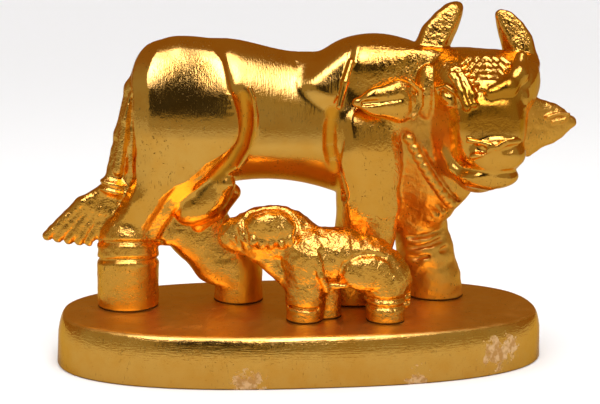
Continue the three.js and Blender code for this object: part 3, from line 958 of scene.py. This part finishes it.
def nostrils():
    """The ridges that rim them, and their hollows, which are cut later."""
    ridges = fuse(0.2,
        line(0.36, face(-3.4, -7.2, 9.3), face(-2, -7.4, 9.9), face(-0.6, -7.6, 10.2)),
        line(0.4, face(-2.9, -9.3, 9.7), face(-1.5, -8.8, 10.3), face(-0.3, -7.9, 10.4)),
        line(0.42, face(0.4, -8.0, 10.4), face(1.5, -7.3, 10.1), face(3.4, -7.2, 9.0)))
    hollows = fuse(0.2,
        blob(face(-2.1, -8.2, 10.2), (1.2, 0.8, 0.6), (0, 20, 0)),
        blob(face(2.2, -8.3, 10.2), (1.1, 0.6, 0.5), (0, -15, 0)))
    return ridges, hollows


def horns():
    """Short horns that lean in, each with a flat front and a flat inner side."""
    left = limb(1, (17.4, 1, 42.8, 2.7), (18.8, 1.2, 45.9, 2.3), (20, 1.4, 47.8, 1.85), (21, 1.6, 49.3, 1.25),
                (21.7, 1.7, 50, 0.65))
    right = limb(1, (31.2, 1, 42.4, 2.5), (30.5, 1.1, 45, 2.05), (29.6, 1.3, 46.8, 1.7),
                 (28.6, 1.4, 48.3, 1.15), (27.9, 1.5, 49.0, 0.65))
    left = keep(0.35, left, behind((18.8, -0.5, 45.9), (-0.13, -0.95, 0.26)))
    left = keep(0.4, left, behind((20.1, -0.2, 45.4), (0.8, -0.55, -0.35)))
    right = keep(0.35, right, behind((30.5, -0.4, 45), (-0.13, -0.95, 0.26)))
    right = keep(0.4, right, behind((29.0, -0.1, 45.2), (-0.85, -0.5, -0.25)))
    return fuse(0.5, left, right)


def near_ear():
    """A leaf-shaped ear laid back along the neck, with a rim and two grooves."""
    leaf = limb(0.6, (6.4, -4.4, 37.0, 0.7), (9, -4.4, 37.1, 2.0, 1.5), (12.1, -4.1, 37.2, 3.1, 1.7))
    rim = line(0.4, (13.4, -5.6, 40.1), (15.1, -5.2, 38.8), (15.2, -5.1, 36.8), (14.2, -5.3, 35.0))
    groove = fuse(0.2,
        line(0.4, (7.2, -5.2, 37.0), (9.6, -5.8, 37.3), (12.3, -5.9, 37.7)),
        line(0.42, (13.0, -5.9, 39.6), (13.9, -5.8, 38), (14.1, -5.7, 35.9)))
    leaf = keep(0.5, leaf, behind((10, -5.75, 37), (-0.05, -1, 0.06)))
    root = blob((16.4, -3.3, 38.4), (1.7, 1.8, 4))
    return carve(0.25, fuse(0.3, fuse(0.8, leaf, root), rim), groove)


def far_ear():
    """A flat ear that points away beyond the head, with one folded line."""
    leaf = limb(1, (32.4, 0, 33.4, 4.7, 2.3), (35.4, 0, 33.6, 2.9, 2), (38.6, 0, 33.8, 0.95, 1))
    flat = keep(0.6, leaf, behind((35, -1.4, 33.6), (0.1, -1, 0.05)))
    mark = line(0.3, (34.6, -1.5, 34.6), (36.4, -1.4, 35.1), (38, -1.1, 35), (37.2, -1.2, 34.2),
                (35.6, -1.4, 33.9))
    return fuse(0.2, flat, mark)


def collar():
    """A row of beads down the side of the neck."""
    beads = []
    for t in steps(BEADS):
        place = along(COLLAR, BEADED_SHARE * t) + np.array([0.4, -0.75, 0])
        beads.append(blob(place, (0.85, 1.15, 1.05), (0, -50, 0)))
    return fuse(0.1, *beads)


def collar_lines():
    """Grooves that run beside the beads, each at its own distance across the neck."""
    grooves = []
    for across in COLLAR_LINES:
        aside = across * np.array([0.83, -0.2 if across < 0 else 0.3, 0.55])
        grooves.append(line(0.3, *[along(COLLAR, t) + aside + np.array([0, -0.35, 0])
                                   for t in np.linspace(0.1, 0.95, 5)]))
    return fuse(0.2, *grooves)


def shoulder_fold():
    """The flat fold of skin that slants up from the shoulder to the hump, with a ridge on its front edge."""
    roll = limb(1, (1.4, 1.4, 36.4, 4.3), (6.4, 2.2, 40.6, 4.2))
    roll = keep(0.6, roll, behind((3.9, -3.4, 36.1), (-0.133, -0.947, 0.292)))
    roll = keep(0.6, roll, behind((5, -3, 39.6), (0.953, -0.05, -0.30)))
    roll = keep(2.2, roll, behind((1.9, -3, 36.6), (-0.56, -0.25, -0.83)))
    ridge = limb(0.3, (6.0, -1.6, 42.4, 0.4), (5.0, -2.6, 39.6, 0.5), (4.1, -3.2, 36.3, 0.45))
    return fuse(0.3, roll, ridge)


def cow_form():
    """All her parts, joined from the body outwards, with the mouth, creases and hoof lines cut last."""
    body = fuse(2, trunk(), neck())
    with_legs = fuse(1.2, body, far_foreleg(), far_hind_leg())
    form = fuse(0.5, fuse(1, with_legs, haunch()), near_foreleg())
    form = fuse(0.25, carve(0.5, form, fuse(0.3, flank_groove(), shoulder_groove())), flank_ridge())
    form = fuse(0.5, form, near_hind_hoof(), udder(), tail())
    form = fuse(0.9, form, shoulder_fold())
    form = fuse(0.7, form, skull())
    form = fuse(0.3, form, brows(), forelock(), eyes(), horns(), near_ear(), far_ear())
    ridges, hollows = nostrils()
    form = carve(0.3, fuse(0.3, form, ridges), hollows)
    form = fuse(0.3, carve(0.3, form, collar_lines()), collar())
    mouth = line(0.42, face(-4.6, -10.9, 7.2), face(-2.4, -11.4, 9.7), face(0, -11.7, 10.1),
                 face(3.1, -11.5, 9), face(4.6, -11, 7))
    creases = fuse(0.2,
        line(0.4, (-11.3, 3.1, 45.2), (-11.2, 1, 43.9), (-11.1, -0.6, 42.3), (-10.9, -1.8, 40.5),
             (-10.6, -2.7, 38.7)),
        line(0.35, (-1.3, 1.3, 42.3), (-1.2, -0.5, 40.8), (-1.1, -1.8, 38.8), (-0.9, -2.4, 37)),
        line(0.35, (-24.2, 1.8, 37), (-24.5, 1.4, 29.4), (-25.2, 1, 25.6)),
        line(0.3, face(-2.3, -1.7, 8.4), face(-1.9, -1.4, 8.2)))
    form = carve(0.4, form, fuse(0.1, mouth, creases))
    for height, depth in HOOF_LINES:
        form = score(form, depth, 0.32,
                     lambda x, z, height=height: z - height + 0.04 * (x + 25) ** 2, near_hind_hoof())
    return form


def cow_creases(x, y, z):
    """How deep the casting is creased: most on the neck, horns and tail, a little on the feet."""
    cheek = ramp(-y, 2.5, 5) * (1 - ramp(z, 36, 39))
    neck_and_horns = ramp(x, 11, 15) * (1 - np.maximum(cheek, ramp(-y, 4.5, 7))) * (1 - 0.6 * ramp(z, 43, 45))
    tail_fan = ramp(-x, 25.5, 27.5)
    feet = 0.3 * (1 - ramp(z, 15, 21))
    return 0.22 * np.maximum(np.maximum(neck_and_horns, tail_fan), feet)


def surface(form, low, high, cell):
    """The form's surface as points and four-cornered faces, cut flat just under the plinth's top."""
    x, y, z = (np.arange(a, b, cell, dtype=np.float32) for a, b in zip(low, high))
    field = form.distance(x[:, None, None], y[None, :, None], z[None, None, :])
    field = np.maximum(field, (TOP - SUNK) - z[None, None, :]).astype(np.float32)
    grid = openvdb.FloatGrid(REACH)
    grid.copyFromArray(np.ascontiguousarray(field))
    points, quads = grid.convertToQuads()
    return points * cell + np.array([x[0], y[0], z[0]]), quads


def cast(name, node, form, low, high, cell, most, material):
    """The form as a mesh inside its node's box, thinned to at most so many triangles."""
    points, quads = surface(form, low, high, cell)
    least, greatest = (np.array(corner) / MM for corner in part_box(node))
    points = np.clip(points, least - (0, 0, SUNK), greatest)
    made = mesh_object(name, (points * MM).tolist(), quads.tolist(), material)
    triangles = 2 * len(quads)
    if triangles > most:
        thin = made.modifiers.new("thin", "DECIMATE")
        thin.ratio = most / triangles
        bpy.context.view_layer.update()
        held = made.evaluated_get(bpy.context.evaluated_depsgraph_get())
        thinned = bpy.data.meshes.new_from_object(held)
        made.modifiers.clear()
        made.data = thinned
    made.data.shade_smooth()
    return made


def cow_crinkle(place):
    """Crinkled over the head, neck, legs and tail, smooth on the body and face, calmer on the hooves."""
    x, y, z = axes(place)
    cheek = times(fade(y, -3.0, -6.0), fade(z, 39.0, 35.0))
    smooth = largest(cheek, fade(y, -5.0, -8.0))
    ahead = times(fade(x, 6.0, 14.0), less(1.0, times(smooth, 0.85)))
    low = less(1.0, fade(z, 15.0, 26.0))
    back = less(1.0, fade(x, -26.0, -23.0))
    most = largest(ahead, low, back)
    hooves = times(fade(z, 18.0, 15.0), 0.6)
    return plus(0.06, times(less(most, times(most, hooves)), 0.6))


def cow_brush(place):
    """Upright brush marks, plainest on the barrel between the haunch and the shoulder."""
    x, _, z = axes(place)
    barrel_side = times(fade(x, -9.0, -6.0), fade(x, 6.0, 2.0), fade(z, 32.0, 37.0))
    return plus(0.12, times(barrel_side, 0.35))


FLANK_CHANNEL = ((-9, 38), (-8.4, 33), (-9.6, 30), (-13, 26))
SHOULDER_CHANNEL = ((3.4, 36), (3, 31), (4.4, 24))


def near_line(place, points, reach):
    """1 along a line through points (x, z), seen from the side, fading out at the reach."""
    x, _, z = axes(place)
    flat = join("ShaderNodeCombineXYZ", x, 0.0, z)
    marks = []
    for (ax, az), (bx, bz) in zip(points, points[1:]):
        for t in (0.17, 0.5, 0.83):
            spot = (ax + t * (bx - ax), 0, az + t * (bz - az))
            marks.append(fade(measured("DISTANCE", flat, spot), reach, 0.4 * reach))
    return largest(*marks)


def cow_recesses(place):
    """1 in the channels of the flank and shoulder and under the belly."""
    x, y, z = axes(place)
    flank = near_line(place, FLANK_CHANNEL, 1.9)
    shoulder = near_line(place, SHOULDER_CHANNEL, 1.6)
    channels = times(largest(flank, shoulder), fade(y, 1.0, 0.0))
    between_legs = times(fade(x, -11.0, -8.0), fade(x, 5.0, 3.0))
    belly = times(less(1.0, fade(z, 27.0, 31.0)), between_legs)
    return largest(channels, belly)


def nose_bridge(place):
    """1 on the front of the face above the nostrils."""
    _, y, z = axes(place)
    return times(fade(y, -9.5, -11.0), fade(z, 33.0, 34.5))


def cow_warm(place):
    """Redder gold: a little over the head and legs, partly their own tone and partly painted reflection;
    painted reflection most in the recesses, under the belly and on the nose bridge.
    """
    x, _, z = axes(place)
    low = less(1.0, fade(z, 22.0, 28.0))
    overall = times(largest(fade(x, 0.0, 9.0), low), 0.4)
    return largest(overall, nose_bridge(place), cow_recesses(place))


def cow_satin(place):
    """Less bright leaf in the recesses, on the cheeks and the dewlap, and a little on the lower legs."""
    x, y, z = axes(place)
    throat = times(fade(x, 11.0, 14.0), fade(z, 38.0, 35.0), fade(y, -9.5, -7.5))
    legs = times(fade(z, 22.0, 18.0), 0.6)
    return largest(throat, legs, cow_recesses(place))


def sole_shadow(place):
    """Painted shadow: a dark line at the foot of a hoof, where it meets the plinth."""
    return fade(axes(place)[2], TOP + 0.35, TOP + 0.15)


def cow_grime(place):
    """Painted shadow in the joints under the hooves, and a painted dark reflection on the bridge of the nose.
    """
    return largest(sole_shadow(place), times(nose_bridge(place), 0.3))


cow_gilding = gold_material("cow_gilding", crinkle=cow_crinkle, brush=cow_brush, specks=0.8, warm=cow_warm,
                            dull=0.05, satin=cow_satin, grime=cow_grime)
cow_shape = crumpled(cow_form(), cow_creases)
cow = cast("cow_gilded", "cow", cow_shape, COW_LOW, COW_HIGH, CELL, COW_TRIANGLES, cow_gilding)
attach(cow, "root")
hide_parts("cow")

# Calf
# A second casting of the same kind and gilding, standing under the cow with its head at her udder. Its hooves
# are cut flat and fixed on the plinth's top beside hers.
CALF_TRIANGLES = 120000
CALF_CELL = 0.13
CALF_LOW = (-15, -13, TOP - 0.4)
CALF_HIGH = (17, 2, 25)
SCALLOPS = 5
MUZZLE_RINGS = 2


def calf_form():
    body = limb(1.5,
        (0, -6.3, 16.3, 3.9, 1.15),
        (4.2, -6.4, 15.9, 3.6, 1.15),
        (8.2, -6.6, 14.7, 3.6, 1.1),
        (10.4, -6.8, 12.8, 3.7, 1.1))
    head = fuse(1,
        blob((-4.9, -4.9, 19), (5.8, 3.1, 3.8), (0, 4, 0)),
        limb(1, (-7.5, -4.4, 18.8, 3), (-10.2, -3.6, 18.4, 2.5)))
    pad = blob((-5.7, -7.75, 20.3), (3.5, 1.25, 2.3), (0, 4, 0))
    scallops = [blob((-8.1 + 1.25 * i, -8.1, 18.7 - 0.5 * math.sin(i * math.pi / 4)), (0.75, 0.8, 0.95))
                for i in range(SCALLOPS)]
    throat = limb(1, (-7, -5, 16.8, 1.8), (-3.2, -5.8, 12.6, 1.2))
    front_near = limb(1, (-0.4, -6.8, 15.5, 3.3), (-0.7, -7, 10.6, 2.5), (-0.8, -7, TOP - SINK, 2.5))
    front_far = limb(1, (2.2, -5, 14, 2.4), (2.6, -5.2, TOP - SINK, 2.2))
    hind_near = limb(1, (10.4, -7.6, 12.4, 2.9), (10.6, -8, TOP - SINK, 2.6))
    hind_far = limb(1, (11, -5.6, 12.4, 2.6), (11.3, -5.2, TOP - SINK, 2.1))
    hip = blob((7.5, -9.6, 14.1), (3.5, 1.1, 2.5))
    tail_strip = limb(0.6, (11.6, -6.6, 15.2, 1.4), (13.2, -6.4, 12.2, 1.2), (13.4, -6.4, 9, 1))
    rib = limb(0.3, (0.3, -9.8, 16.6, 0.5), (1.0, -9.9, 14, 0.55), (1.9, -9.4, 11.9, 0.5))
    belly_edge = line(0.4, (1.6, -9.2, 12.6), (3.2, -9.3, 12.3), (4.8, -9.2, 12.4))
    form = fuse(1, body, head, throat, front_near, front_far, hind_near, hind_far)
    raised = fuse(0.3, form, fuse(0.15, pad, *scallops), tail_strip, rib, belly_edge, hip)
    form = crumpled(raised, calf_creases)
    near_side = behind((0, -6.5, 0), (0, 1, 0))
    hip_line = seam(*[(7.5 + 3.8 * math.cos(a), 14.1 + 2.7 * math.sin(a)) for a in np.linspace(0.9, 3.6, 7)])
    pad_line = seam(*[(-5.7 + 3.7 * math.cos(a), 20.2 + 2.5 * math.sin(a))
                      for a in np.linspace(-0.5, 3.4, 8)])
    form = score(score(form, 0.25, 0.35, hip_line, near_side), 0.3, 0.3, pad_line, near_side)
    form = score(form, 0.5, 0.25, seam((-2.8, 9.2), (0.6, 9.0)), near_side)
    for height in (9.3, 10.4):
        form = score(form, 0.35, 0.3, lambda x, z, height=height: z - height, hind_near)
    rings = []
    for i in range(MUZZLE_RINGS):
        back, y = 1.1 * i, -7.4 + i
        rings.append(limb(0.3, (-9.2 - back, y, 19.6, 0.35), (-8.6 - back, y, 17, 0.35)))
    return carve(0.3, form, fuse(0.2, *rings))


def calf_creases(x, y, z):
    """Deep over the back and head, shallow on the legs."""
    return 0.16 + 0.26 * ramp(z, 12, 16)


calf_gilding = gold_material("calf_gilding", crinkle=0.85, brush=0.2, specks=0.5, warm=0.3, dull=0.1,
                             satin=0.3, grime=sole_shadow)
calf = cast("calf_gilded", "calf", calf_form(), CALF_LOW, CALF_HIGH, CALF_CELL, CALF_TRIANGLES, calf_gilding)
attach(calf, "root")
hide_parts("calf")
